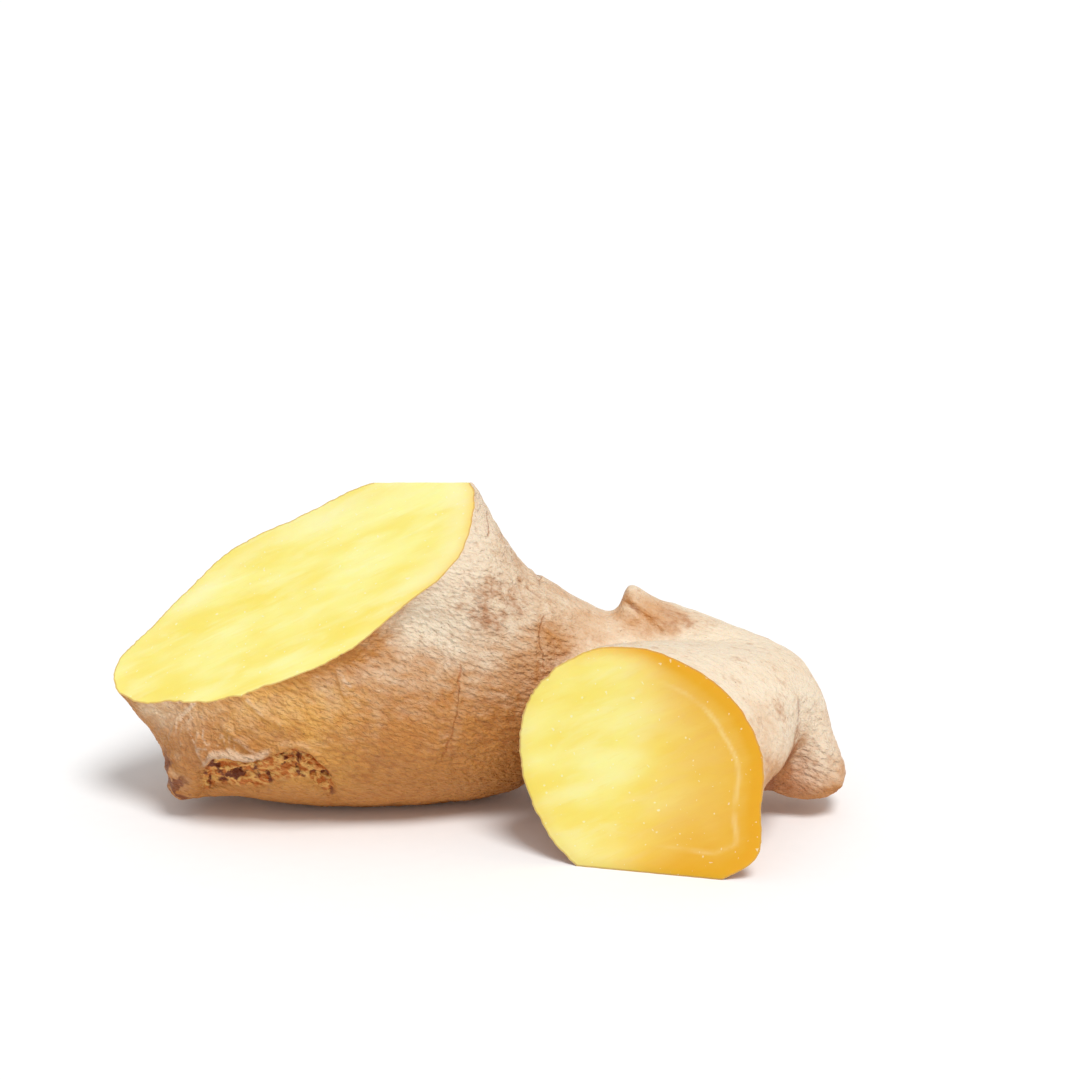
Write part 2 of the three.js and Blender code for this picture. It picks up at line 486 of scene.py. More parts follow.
def rolled_lip(places):
    """1 along the lip itself, just above the hollow, which curls outwards."""
    ends = ramp(places[:, 0], -57, -53) * ramp(places[:, 0], -29, -32)
    return bell(under_lip(places) + 0.7, 0.8) * ends * ramp(places[:, 1], 4, -1)


print("the lip is", LIP_X[-1] - LIP_X[0], "mm long and the hollow", HOLLOW_DEPTH, "mm deep")

# %% [markdown]
# ### Where the rings, creases and folds lie
#
# These are the marks that make this root this one: three growth rings on the stem and one at the back,
# the creases behind the snapped finger and on the saddle, and the folds at the left end. They are plain
# lists in millimetres, so one can be moved without touching the rest.

# %% List the rings, creases and folds
# point, facing, lowest and highest z on the near side, depth
RINGS = [
    ((-26.8, -7, 26), (1, 0, 0.02), 13, 36, 0.30),
    ((-4.1, -6.6, 28), (1, 0, -0.22), 17, 36, 0.35),
    ((13.2, 0, 37), (1, 0.1, -0.13), 29, 43.5, 0.45),
    ((-47, 20, 25), (1, -0.15, 0.1), 90, 91, 0.35),  # at the back only
]
# line, depth, width
CREASES = [
    ([(31, 14, 42), (32.7, 13.3, 41.1), (35.1, 11.9, 39.6), (37.5, 10.2, 37.6)], 0.9, 0.7),
    ([(10.7, 8.4, 47.6), (12, 8, 46.8), (13.1, 7.4, 46.1)], 0.5, 0.35),
    ([(9, 8.9, 49.1), (10.2, 8.0, 48.4)], 0.4, 0.3),
]
FOLDS = [
    [(-56.6, -2.1, 26.8), (-59.5, -2, 23.5), (-60.5, -1.6, 21.7), (-61.9, -1, 18.3)],
    [(-55.7, -5.1, 21.4), (-56, -5.3, 17.7), (-55, -5.6, 16)],
    [(-50.4, -6.3, 23.7), (-47.5, -7.6, 21.2), (-44.7, -8.1, 19)],
    [(-45.5, -5.7, 29), (-42.5, -7.4, 26.5), (-38.8, -8.4, 24.7)],
    [(-27.2, -5.8, 35.5), (-25.8, -6.6, 33.5), (-24.6, -7, 32.4)],
    [(-27, -6, 34.5), (-26.3, -7, 32), (-25.6, -7.4, 30.6)],
]
RING_WOBBLE, RING_GAPS = 20, 30  # seeds of the noise in the first ring; each ring after it takes the next
print(len(RINGS), "rings,", len(CREASES), "creases and", len(FOLDS), "folds")

# %% [markdown]
# ### Adding the heights up
#
# Each mark is a height in mm at every point, and the skin moves along its normal by their sum. Folds and
# puckers fade out near the long cut, so that the knife leaves an even rim.

# %% Shape the skin
drawn = points - OFFSET
normals = normals_of(points, quads)
over_cut = (points - LONG_CUT[0]) @ LONG_CUT[1]
height = 0.55 * noise(drawn, 17, 1) + 0.25 * noise(drawn, 7, 2) + 0.10 * noise(drawn, 3, 3)
for n, (point, facing, low, high, depth) in enumerate(RINGS):
    d = across(drawn, point, facing, RING_WOBBLE + n)
    dip = bell(d, 0.6) - 0.5 * bell(d, 2)  # a groove between two low banks
    height -= depth * ring_zone(drawn, low, high, RING_GAPS + n) * dip
height -= 0.9 * near(drawn, (18.5, -2, 36), (3.5, 9, 9))  # the waist, pinched
height += sum(crease(drawn, line, depth, width) for line, depth, width in CREASES)
height += sum(crease(drawn, line, -0.55, 0.6) for line in FOLDS) * ramp(over_cut, -0.2, -2.5)
height -= 0.6 * seam(drawn)
leather = 0.45 + 0.6 * ramp(drawn[:, 0], 26, 12)  # how wrinkled each place is
leather += patches(drawn, [(0.9, (68, 0, 12), (10, 12, 12)), (-0.5, (-5, 5, 60), (10, 14, 12))])
height += leather * (0.2 * ridged(drawn, (6, 2.2, 1.8), 4) + 0.13 * ridged(drawn, (3.4, 1.5, 1.2), 5))
height += 0.75 * near(drawn, (-53, -5, 22), (11, 9, 7.5)) * ramp(over_cut, -0.5, -5.0) * puckers(drawn)
ragged = 1.6 * noise(drawn, (3.2, 3, 2.2), 42) + 0.6 * noise(drawn, 1.4, 43)
height += 0.9 * rolled_lip(drawn) - tear(drawn) * (HOLLOW_DEPTH + ragged)
snapped = 0.9 * noise(drawn, (2.5, 4, 2.5), 44) + 0.4 * noise(drawn, 1.3, 45)
height += near(drawn, (-63, 0, 6), (5, 14, 9)) * snapped
height += patches(drawn, [(0.9, (74.5, 1, 7.5), 1.6), (0.7, (72.5, -1, 3.5), 1.5)])  # scars on the tip
points = points + normals * height[:, None]
print("heights from", height.min().round(2), "to", height.max().round(2), "mm")

# %% [markdown]
# ## Cutting it
#
# A knife is a block whose front face lies in the plane of the cut, and a boolean takes away what the
# block covers. The front face is a fine grid, not one big rectangle: the flesh keeps that grid, so the
# ends of the fibres can stand a tenth of a millimetre proud of it. The flesh faces also keep the knife's
# material, which is how skin and flesh are told apart afterwards. The table cuts the underside the same
# way.

# %% Tools for cutting
FLESH_SPACING = 0.55  # mm between points on a cut face


def axes_of(facing):
    """Two unit axes that lie in a plane: one level, one up the slope."""
    level = np.cross([0.0, 0.0, 1.0], facing) if abs(facing[2]) < 0.99 else np.array([1.0, 0.0, 0.0])
    level = level / np.linalg.norm(level)
    return level, np.cross(facing, level)


def knife_surface(plane, reach, relief, spacing=FLESH_SPACING, deep=70.0):
    """Two grids: the front is point + u level + v upslope + relief(u, v) facing, and the back is deep mm in
    front of it. reach gives the lowest and highest u and v in mm. Walls join the two along their sides."""
    point, facing = plane
    level, upslope = axes_of(facing)
    u_low, u_high, v_low, v_high = reach
    u = np.arange(u_low, u_high + spacing, spacing)
    v = np.arange(v_low, v_high + spacing, spacing)
    u, v = np.meshgrid(u, v, indexing="ij")
    plain = point + u[..., None] * level + v[..., None] * upslope
    front = (plain + relief(u, v)[..., None] * facing).reshape(-1, 3)
    back = (plain + deep * facing).reshape(-1, 3)
    rows, columns = u.shape
    number = np.arange(rows * columns).reshape(rows, columns)
    corners = [number[:-1, :-1], number[:-1, 1:], number[1:, 1:], number[1:, :-1]]
    quads = np.stack(corners, -1).reshape(-1, 4)
    rim = np.concatenate([number[:-1, 0], number[-1, :-1], number[:0:-1, -1], number[0, :0:-1]])
    ahead = np.roll(rim, -1)
    walls = np.stack([rim, ahead, ahead + front.shape[0], rim + front.shape[0]], 1)
    return np.vstack([front, back]), np.vstack([quads, quads[:, ::-1] + front.shape[0], walls])


def slice_off(root, knife_points, knife_faces, slot):
    """Takes a block away from the root. Faces left by the block carry the material of that slot."""
    knife = make_mesh("knife", knife_points, knife_faces)
    for material in root.data.materials:
        knife.data.materials.append(material)
    knife.data.polygons.foreach_set("material_index", np.full(len(knife_faces), slot, np.int32))
    cut = root.modifiers.new("cut", "BOOLEAN")
    cut.operation = "DIFFERENCE"
    cut.solver = "MANIFOLD"
    cut.object = knife
    sliced = bpy.data.meshes.new_from_object(root.evaluated_get(bpy.context.evaluated_depsgraph_get()))
    root.modifiers.clear()
    root.data = sliced
    bpy.data.objects.remove(knife)


def flat(u, v):
    """No relief."""
    return 0 * u


def fibres(u, v, slant=math.radians(38), seed=60):
    """Ends of fibres in mm: noise stretched along a slanting direction of the cut."""
    along = u * math.cos(slant) + v * math.sin(slant)
    across = v * math.cos(slant) - u * math.sin(slant)
    places = np.stack([along, across, 0 * u], -1).reshape(-1, 3)
    streaks = 0.07 * noise(places, (9, 1.6, 1), seed) + 0.05 * noise(places, (3.5, 0.9, 1), seed + 1)
    return (streaks + 0.02 * noise(places, 0.9, seed + 2)).reshape(u.shape)


print("a point every", FLESH_SPACING, "mm on the cuts")

# %% [markdown]
# ### The four cuts
#
# The table goes first, with the skin's own material, because the underside is skin pressed flat. Then
# come the long cut, the finger's cut and the small flat on top, each a little larger than what it lays
# bare. The mesh is then made all triangles, with no edge shared by more than two of them.

# %% Make the cuts
skin = bpy.data.materials.new("ginger_skin")
flesh = bpy.data.materials.new("ginger_flesh")
root = make_mesh("ginger_root_surface", points, quads)
root.data.materials.append(skin)
root.data.materials.append(flesh)
SKIN_SLOT, FLESH_SLOT = 0, 1
UNDERSIDE = (np.zeros(3), np.array([0.0, 0.0, -1.0]))
UNDERSIDE_SPACING = 5.0  # mm
slice_off(root, *knife_surface(UNDERSIDE, (-90, 90, -60, 60), flat, UNDERSIDE_SPACING), SKIN_SLOT)
slice_off(root, *knife_surface(LONG_CUT, (-60, 60, -50, 50), fibres), FLESH_SLOT)
slice_off(root, *knife_surface(FINGER_CUT, (-41, 40, -40, 50), fibres), FLESH_SLOT)
slice_off(root, *knife_surface(TOP_TRIM, (-60, 60, -30, 30), fibres), FLESH_SLOT)
neat = bmesh.new()
neat.from_mesh(root.data)
# A face of many sides gets a point in its middle. So does a quad whose diagonal is already an edge elsewhere.
bmesh.ops.poke(neat, faces=[face for face in neat.faces if len(face.verts) > 4])
fours = [face for face in neat.faces if len(face.verts) == 4]
blocked = [f for f in fours if any(neat.edges.get((f.verts[i], f.verts[i + 2])) for i in (0, 1))]
bmesh.ops.poke(neat, faces=blocked)
bmesh.ops.triangulate(neat, faces=neat.faces[:])
loose = sum(not edge.is_manifold for edge in neat.edges)
volume = neat.calc_volume() / 1000
print("after the cuts:", len(neat.faces), "triangles,", loose, "open edges,", round(volume, 1), "cm3")
neat.to_mesh(root.data)
neat.free()

# %% [markdown]
# ## What each place on the root is like
#
# The paints below need to know which places are old and brown, pale and thin-skinned, stained, torn,
# in painted shade or close to a knife edge. Each of those is worked out here from where the place is, and
# stored in the mesh as an attribute, a number per point. Painting a picture by hand would need an
# unwrapped skin and an image file. The cuts gave the mesh new points, so it is read back first.

# %% Read the cut mesh back
def mesh_arrays(mesh):
    """Points, triangles and the material number of each triangle."""
    places = np.zeros(len(mesh.vertices) * 3)
    mesh.vertices.foreach_get("co", places)
    corners = np.zeros(len(mesh.loops), int)
    mesh.loops.foreach_get("vertex_index", corners)
    kinds = np.zeros(len(mesh.polygons), int)
    mesh.polygons.foreach_get("material_index", kinds)
    return places.reshape(-1, 3), corners.reshape(-1, 3), kinds


def on_triangles(triangles, count):
    """Whether each point is a corner of one of these triangles."""
    touched = np.zeros(count, bool)
    touched[triangles] = True
    return touched


places, corners, kinds = mesh_arrays(root.data)
drawn = places - OFFSET
x, y, z = drawn.T
on_skin = on_triangles(corners[kinds == SKIN_SLOT], len(places))
on_flesh = on_triangles(corners[kinds == FLESH_SLOT], len(places))
rim = on_skin & on_flesh
print(rim.sum(), "points on the rims of the cuts,", on_flesh.sum(), "on the flesh")

# %% [markdown]
# ### Which way is up, and how far is the rim
#
# Two measures come from the mesh itself. The upward share of a point's normal tells the top from the
# underside, so that the top can be painted paler and the underside darker: partly real toasting, partly
# painted shade. The distance to the nearest rim point makes bands that follow the edge of a cut,
# whatever its outline. A shader node could give the first but not the second.

# %% Measure the upward share and the distance to the rim
RIM_REACH = 4.0  # mm from a cut's plane within which the skin knows its distance to the rim
FAR_FROM_RIM = 30.0  # mm, for every place beyond


def distance_to_points(places, targets, chunk=2000):
    """Distance in mm from each place to the nearest of the targets."""
    parts = [places[i : i + chunk] for i in range(0, len(places), chunk)]
    square = [((part[:, None] - targets[None]) ** 2).sum(-1).min(1) for part in parts]
    return np.sqrt(np.concatenate(square))


def from_plane(places, plane):
    """Distance in mm to a cut's plane: |(place - point) . facing|."""
    return np.abs((places - plane[0]) @ plane[1])


skin_corners = corners[kinds == SKIN_SLOT]
first, second, third = (places[skin_corners[:, n]] for n in range(3))
face = np.cross(second - first, third - first)
up = np.bincount(skin_corners.ravel(), np.repeat(face[:, 2], 3), len(places))
length = np.bincount(skin_corners.ravel(), np.repeat(np.linalg.norm(face, axis=1), 3), len(places))
up = np.where(on_skin, up / np.maximum(length, 1e-9), 0)
rim_distance = np.full(len(places), FAR_FROM_RIM)
rim_distance[on_flesh] = distance_to_points(places[on_flesh], places[rim])
close = on_skin & (np.minimum(from_plane(places, LONG_CUT), from_plane(places, FINGER_CUT)) < RIM_REACH)
rim_distance[close] = distance_to_points(places[close], places[rim])
print("widest flesh:", rim_distance[on_flesh].max().round(1), "mm from its rim")

# %% [markdown]
# ### Where the skin is toasted, shaded, orange, stained or pink
#
# Old skin is toasted and young skin is pale; the underside and the low places are also painted darker as
# shade, and a few rows paint highlights. Where the papery outer layer has rubbed off it shows orange, the
# buds blush pink, and dirt has stained the hollows; some stain rows are painted shadow, under the front
# lobe, under the front finger and in the waist. Each is a sum of soft spots, one row each: how much, the
# middle, and how far it reaches along x, y and z in mm. Noise then breaks up their outlines.

# %% Mark the colours
TOASTING_SHADE_AND_HIGHLIGHTS = [
    (-0.29, (50, -5, 30), (20, 22, 22)),
    # painted highlight on the hump beside the long cut
    (-0.7, (-11.5, -1, 43.5), (8, 8, 6)),
    (-0.7, (-1, 5, 58), (12, 16, 13)),
    (0.1, (20, 10, 38), (10, 12, 10)),
    (0.5, (36, 15, 40), (11, 8, 5)),
    # painted light on the stem's right side
    (-0.3, (2, -2, 40), (13, 8, 8)),
    (-0.35, (-67, 2, 22), (6, 7, 5)),
    (-0.2, (-8, 0, 50), (8, 10, 8)),
    (-0.15, (0, -5, 28), (9, 6, 7)),
    (-0.5, (70, 1, 20), (6, 10, 11)),
    (-0.35, (-61, -2, 9), (6, 7, 7)),
    (-0.3, (-67, 0, 26), (7, 8, 6)),
]
RUBBED = [
    (1.0, (-39, -7, 29), (12, 6, 5)),
    (0.6, (-30, -8, 22), (8, 8, 8)),
    (0.4, (-52, -5, 25), (10, 8, 6)),
    (0.35, (-68, 0, 26), (6, 8, 6)),
]
STAINS_AND_SHADOWS = [
    (1.0, (3.5, 1.5, 46), (7, 8, 5.5)),
    (0.55, (61, -9.4, 29.4), (4, 4, 3.5)),
    (0.6, (41, 12.5, 39), (7, 5, 2.5)),
    # painted shadow of the front lobe on the tip's inner side
    (1.6, (61.5, -5, 10), (5, 9, 6)),
    (0.5, (-20, -8, 16), (14, 6, 7)),
    (0.7, (74, 1, 6), (1.5, 2, 2)),
    # painted shade in the pinched waist
    (0.55, (18, -2, 35), (4, 6, 8)),
    # painted shadow of the front finger on the stem
    (0.45, (3, -5, 26), (9, 7, 7)),
    (0.6, (-40, 36, 34), (7, 9, 6)),
    (0.5, (24, 30, 20), (6, 9, 7)),
]
PINK = [
    (0.25, (70, 4, 10), (9, 12, 11)),
    (0.15, (-5, 6, 58), (7, 9, 9)),
    (0.8, (64, -3, 9), (5, 8, 7)),
    (0.45, (-56, -4, 20), (8, 8, 7)),
]
far_side = ramp(y, 12, 26)
# painted light and shade: paler where the skin faces up, darker where it faces down and towards the bottom,
# besides real toasting of old growth
toasted_and_shaded = 0.66 - 0.46 * up + 0.26 * ramp(x, 22, 12) + 0.2 * ramp(z, 30, 8) - 0.32 * far_side
toasted_and_shaded += (0.16 - 0.1 * far_side) * layered(drawn, 16, 3, 70) + 0.12 * layered(drawn, 4.5, 3, 71)
toasted_and_shaded += patches(drawn, TOASTING_SHADE_AND_HIGHLIGHTS)
orange = patches(drawn, RUBBED) * (0.75 + 0.5 * layered(drawn, 5, 3, 72))
orange += 0.5 * near(drawn, (-33, -8, 13), (10, 8, 5))  # inside the torn hollow
# painted shadow: darker just past the lobe's edge, where the lobe hangs over the tip
stain_and_shadow = patches(drawn, STAINS_AND_SHADOWS) + 1.4 * tucked(drawn - (0, 2.5, 0)) * ramp(drawn @ UPWARD, 20, 13)
stain_and_shadow = stain_and_shadow * (0.8 + 0.7 * layered(drawn, 3.5, 3, 73))
pink = patches(drawn, PINK)
print("toasted_and_shaded", toasted_and_shaded[on_skin].mean().round(2), "stain_and_shadow", stain_and_shadow[on_skin].mean().round(3))

# %% [markdown]
# ### Where the skin is torn, peeled, broken, lined or shaded
#
# These marks follow the shapes made above: the hollow, its lip, the folds, the snapped end, the rings,
# the creases and the lobe's edge. A dark band under the torn lip, the dark creases and the dark band past
# the lobe's edge are painted shade. Using the same functions again keeps colour and shape together.

# %% Mark the damage
torn = tear(drawn)
lip = bell(under_lip(drawn) + 0.9, 1.1) * ramp(x, -56, -53) * ramp(x, -38, -44) * ramp(y, 4, -1)
fold_tops = sum(bell(distance_to_line(drawn, line), 0.55) for line in FOLDS)
gathered = near(drawn, (-54, -4, 21), (11, 9, 7)) * (0.1 + 0.75 * ramp(puckers(drawn), 0.1, 0.5))
peeled = lip + 0.8 * fold_tops + gathered
scabs = ramp(0.4 + layered(drawn, (2.0, 2.0, 3.0), 3, 75), 0, 0.6)
broken_and_lip_shadow = near(drawn, (-62.5, -1, 6), (4.5, 12, 9)) * scabs
# painted shadow: a dark band just under the torn lip
broken_and_lip_shadow += 0.45 * torn * bell(under_lip(drawn) - 1.2, 1.0) * ramp(noise(drawn, 2.5, 79), -0.3, 0.2)
print("torn at", int((torn > 0.5).sum()), "points, broken at", int((broken_and_lip_shadow > 0.5).sum()))

# %% Mark the lines
rings = np.zeros(len(places))
for n, (point, facing, low, high, _) in enumerate(RINGS):
    band = bell(across(drawn, point, facing, RING_WOBBLE + n), 2.2)
    rings = np.maximum(rings, band * ring_zone(drawn, low, high, RING_GAPS + n))
# painted shade: the creases are darkened
crease_and_lobe_shade = sum(bell(distance_to_line(drawn, line), 0.6) for line, _, _ in CREASES)
# painted shadow: a dark band just past the lobe's edge, where the lobe hangs over the tip, and along the seam
# above it
lobe_shadow = bell(beyond_edge(drawn) - 1.0, 1.6) * ramp(drawn @ UPWARD, 19, 12) * (y > -14)
crease_and_lobe_shade = np.maximum(crease_and_lobe_shade, 1.2 * lobe_shadow * ramp(drawn @ UPWARD, 4, 7) * ramp(y, 9, 3))
crease_and_lobe_shade = np.maximum(crease_and_lobe_shade, 0.8 * seam(drawn))
leathery = 0.45 + 0.55 * ramp(x, 26, 12)
leathery += patches(drawn, [(0.5, (68, 0, 12), (10, 12, 12)), (-0.4, (-5, 5, 60), (10, 14, 12))])
print("rings reach", int((rings > 0.5).sum()), "points and grooves", int((crease_and_lobe_shade > 0.5).sum()))

# %% [markdown]
# ### Bands in the flesh
#
# Under the skin the flesh is a deeper gold, and a thin pale line runs round the finger's cut where the
# outer flesh meets the core. The long cut has a broad pale band instead. All of them follow the distance
# to the rim.

# %% Mark the flesh
on_finger = from_plane(places, FINGER_CUT) < 0.5
edge_gold = bell(rim_distance, 2.2)
right_half = 0.4 + 0.6 * ramp(x, 14, 30) * ramp(z, 2, 12)
finger_gold = 0.12 + 0.4 * edge_gold * right_half + 0.2 * bell(rim_distance, 9) * ramp(x, 20, 42)
finger_gold += 0.42 * ramp(x, 24, 46) + 0.1 * ramp(z, 22, 2)
long_gold = 0.05 + edge_gold * (0.1 + 0.3 * ramp(x, -22, -10) * (y < 20))
gold = np.where(on_finger, finger_gold, long_gold)
core_line = bell(rim_distance - 5.4 - 0.7 * noise(drawn, 8, 77), 0.4) * ramp(x, 34, 44)
core_line = 0.6 * core_line * ramp(noise(drawn, 4.0, 78), -0.9, 0.2)
pale_band = 0.8 * bell(rim_distance - 3.2, 3.2) * (0.7 + 0.6 * noise(drawn, 14, 80))
pale_band = pale_band * np.maximum(ramp(y, 10, 20), ramp(x, -26, -14))
pale = np.where(on_finger, core_line, pale_band)
print("gold", gold[on_flesh].mean().round(2), "pale", pale[on_flesh].mean().round(2))

# %% [markdown]
# ### Keeping the marks in the mesh
#
# An attribute holds one number per point, and the Attribute node reads it by name.

# %% Store the marks
def store(name, numbers, highest=1):
    """Keeps one number per point in the root's mesh, held between 0 and the highest."""
    column = root.data.attributes.new(name, "FLOAT", "POINT")
    column.data.foreach_set("value", np.clip(numbers, 0, highest).astype(np.float32))


marks = {
    "toasted_and_shaded": toasted_and_shaded, "orange": orange, "stain_and_shadow": stain_and_shadow, "pink": pink, "torn": torn, "peeled": peeled,
    "broken_and_lip_shadow": broken_and_lip_shadow, "groove": crease_and_lobe_shade, "rings": rings, "leathery": leathery, "gold": gold, "pale": pale,
}
for name, numbers in marks.items():
    store(name, numbers)
store("rim_cm", rim_distance * 0.1, FAR_FROM_RIM * 0.1)
print("marks stored:", ", ".join(marks), "and rim_cm")

# %% [markdown]
# ## Metres, crisp edges and the body it rides on
#
# So far the mesh was in millimetres, and now it takes its real size. The rims of the cuts stay crisp
# while the rest is shaded smooth: an edge is sharp where the materials on its two sides differ. An angle
# limit would also catch the wrinkles. The piece then rides on its body, and the CAD part it stands for
# is hidden.

# %% Bring it to metres
edge_pairs = np.sort(np.vstack([corners[:, [i, (i + 1) % 3]] for i in range(3)]), axis=1)
edge_kinds = np.tile(kinds, 3)
order = np.lexsort((edge_pairs[:, 1], edge_pairs[:, 0]))  # the two sides of an edge come next to each other
edge_pairs, edge_kinds = edge_pairs[order], edge_kinds[order]
boundary = edge_pairs[::2][edge_kinds[::2] != edge_kinds[1::2]]
root.data.vertices.foreach_set("co", (places * MM).ravel())
mesh_edges = np.zeros(len(root.data.edges) * 2, int)
root.data.edges.foreach_get("vertices", mesh_edges)
mesh_edges = np.sort(mesh_edges.reshape(-1, 2), axis=1)
code = mesh_edges[:, 0] * len(places) + mesh_edges[:, 1]
sharp = np.isin(code, boundary[:, 0] * len(places) + boundary[:, 1])
root.data.attributes.new("sharp_edge", "BOOLEAN", "EDGE").data.foreach_set("value", sharp)
root.data.polygons.foreach_set("use_smooth", np.ones(len(kinds), bool))
root.data.update()
root.name = "ginger_root_body"
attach(root, "root")
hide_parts("ginger_root")
print(sharp.sum(), "sharp edges round the cuts")

# %% [markdown]
# ## Paint
#
# A paint is a net of nodes. Writing each node and link out is long, so two small classes do it: a Wire is
# one output, and adding or multiplying wires makes the Math nodes. A Paint adds any other node.

# %% A way to write paints
class Wire:
    """The output of a node. Adding, subtracting or multiplying wires and numbers adds a Math node."""

    def __init__(self, paint, socket):
        self.paint = paint
        self.socket = socket

    def maths(self, operation, first, second):
        return self.paint.node("ShaderNodeMath", {"operation": operation}, {0: first, 1: second})

    def __add__(self, other):
        return self.maths("ADD", self, other)

    def __sub__(self, other):
        return self.maths("SUBTRACT", self, other)

    def __rsub__(self, other):
        return self.maths("SUBTRACT", other, self)

    def __mul__(self, other):
        return self.maths("MULTIPLY", self, other)

    __radd__ = __add__
    __rmul__ = __mul__


class Paint:
    """The nodes of one material."""

    def __init__(self, material):
        material.use_nodes = True
        self.tree = material.node_tree
        self.tree.nodes.clear()
        self.places = self.node("ShaderNodeTexCoord", out="Object")

    def node(self, kind, settings=None, sockets=None, out=0):
        """Adds a node: its settings first, then the value or link of each socket. Gives one output."""
        node = self.tree.nodes.new(kind)
        for name, value in (settings or {}).items():
            setattr(node, name, value)
        for name, value in (sockets or {}).items():
            if isinstance(value, Wire):
                self.tree.links.new(value.socket, node.inputs[name])
            else:
                node.inputs[name].default_value = value
        return Wire(self, node.outputs[out]) if node.outputs else None

    def mark(self, name):
        """A number stored in the mesh."""
        return self.node("ShaderNodeAttribute", {"attribute_name": name}, out="Fac")

    def step(self, value, low, high):
        """0 at low, 1 at high, smooth between."""
        sockets = {"Value": value, "From Min": low, "From Max": high}
        return self.node("ShaderNodeMapRange", {"interpolation_type": "SMOOTHSTEP"}, sockets)

    def blend(self, share, first, second, how="MIX"):
        """A colour between two colours."""
        settings = {"data_type": "RGBA", "blend_type": how}
        return self.node("ShaderNodeMix", settings, {0: share, 6: first, 7: second}, out=2)

    def stretched(self, size, turn=(0, 0, 0)):
        """Object coordinates divided by a size in mm per axis, after a turn in degrees."""
        sockets = {
            "Vector": self.places,
            "Rotation": [math.radians(t) for t in turn],
            "Scale": [max(s, 1e-3) * MM for s in size],
        }
        return self.node("ShaderNodeMapping", {"vector_type": "TEXTURE"}, sockets)

    def across(self, point, facing, seed):
        """Distance in mm to a wobbly plane through a place of the drawing, without its sign."""
        facing = Vector(facing).normalized()
        sockets = {0: self.places, 1: tuple(facing / MM)}
        d = self.node("ShaderNodeVectorMath", {"operation": "DOT_PRODUCT"}, sockets, out="Value")
        rough = self.grain((2.2 + 0.1 * seed,) * 3, detail=3)
        slow = self.grain((7 - 0.5 * seed,) * 3, detail=0)
        wobble = rough + slow * 2.0
        return self.size_of(d - facing.dot(Vector(point) + Vector(OFFSET)) + wobble * 1.6 - 2.4)

    def size_of(self, value):
        """A number without its sign."""
        return self.node("ShaderNodeMath", {"operation": "ABSOLUTE"}, {0: value})

    def grain(self, size, turn=(0, 0, 0), detail=2.0, warp=0.0):
        """Noise from 0 to 1 whose lumps have that size in mm."""
        sockets = {"Vector": self.stretched(size, turn), "Scale": 1.0, "Detail": detail, "Distortion": warp}
        return self.node("ShaderNodeTexNoise", {}, sockets)

    def cells(self, size, turn=(0, 0, 0)):
        """Rounded pebbles that crowd each other: 0 in the middle of one, about 1 in the gap between."""
        sockets = {"Vector": self.stretched(size, turn), "Scale": 1.0, "Smoothness": 0.35}
        return self.node("ShaderNodeTexVoronoi", {"feature": "SMOOTH_F1"}, sockets, out="Distance")

    def bump(self, height, strength, depth):
        """Normals bent by a height; depth is in mm."""
        sockets = {"Strength": strength, "Distance": depth * MM, "Height": height}
        return self.node("ShaderNodeBump", {}, sockets, out="Normal")

    def finish(self, sockets):
        """The surface itself."""
        surface = self.node("ShaderNodeBsdfPrincipled", {}, sockets)
        self.node("ShaderNodeOutputMaterial", {}, {"Surface": surface})


def colour(red, green, blue):
    """A colour given as it looks on a screen (0 to 255), as the linear light that Blender works in."""
    channels = (red, green, blue)
    return tuple(((c / 255 + 0.055) / 1.055) ** 2.4 if c > 10 else c / 3295 for c in channels) + (1.0,)


# %% [markdown]
# ### The skin
#
# Ginger skin is thin dry cork: pale where it is young, toasted on old growth, with fine leather wrinkles
# that run along the root and catch the light. Its top is painted paler and its underside darker, partly
# real drying and browning, partly painted light and shade, and some shadows are painted in with the
# stains. Broad colour comes from the marks, and grain from noise on Object coordinates, which needs no
# unwrapping.

# %% Make the skin's grain
paint = Paint(skin)
fine = paint.grain((0.95, 0.6, 0.5), (0, 24, 0), detail=2, warp=0.3)
coarse = paint.grain((1.9, 1.3, 0.95), (0, 20, 0), detail=2, warp=0.3)
pebbles = paint.cells((1.7, 1.15, 0.85), (0, 26, 0))
cloudy = paint.grain((6, 6, 6), detail=4)
blotchy = paint.grain((2.4, 2.4, 2.4), detail=4)
specks = paint.grain((0.8, 0.8, 0.8), detail=1)
leathery = paint.mark("leathery")
valley = paint.step(fine, 0.58, 0.32) * 0.35 + paint.step(coarse, 0.55, 0.3) * 0.2
valley = valley + paint.step(pebbles, 0.4, 0.8) * 0.5
print("skin paint:", len(skin.node_tree.nodes), "nodes for the grain")

# %% Colour the skin from pale to toasted and painted shade, then stain it and paint its shadows
# painted light and shade: toasting also carries the darker underside and low places and the painted
# highlights
toasting_and_shading = paint.step(paint.mark("toasted_and_shaded") + (cloudy - 0.5) * 0.5 + (coarse - 0.5) * 0.25, 0.0, 1.0)
base = paint.blend(toasting_and_shading, colour(243, 225, 198), colour(204, 138, 66))
base = paint.blend(paint.mark("orange") * 0.7, base, colour(244, 186, 88))
base = paint.blend(paint.mark("pink") * 0.6, base, colour(206, 150, 116))
base = paint.blend(paint.step(blotchy, 0.56, 0.72) * 0.35, base, colour(190, 132, 84))
# the stain mark holds real stains and painted shadows under the front lobe, under the front finger and in the
# waist, all in this dark brown
dirt_and_shadow = paint.mark("stain_and_shadow") + (cloudy - 0.5) * 0.5 + (fine - 0.5) * 1.1 + (pebbles - 0.5) * 0.4
stained_and_shadowed = paint.step(dirt_and_shadow, 0.1, 1.1)
base = paint.blend(stained_and_shadowed * 0.8, base, colour(172, 104, 46))
base = paint.blend(paint.step(paint.mark("peeled"), 0.25, 0.9) * 0.7, base, colour(238, 208, 176))
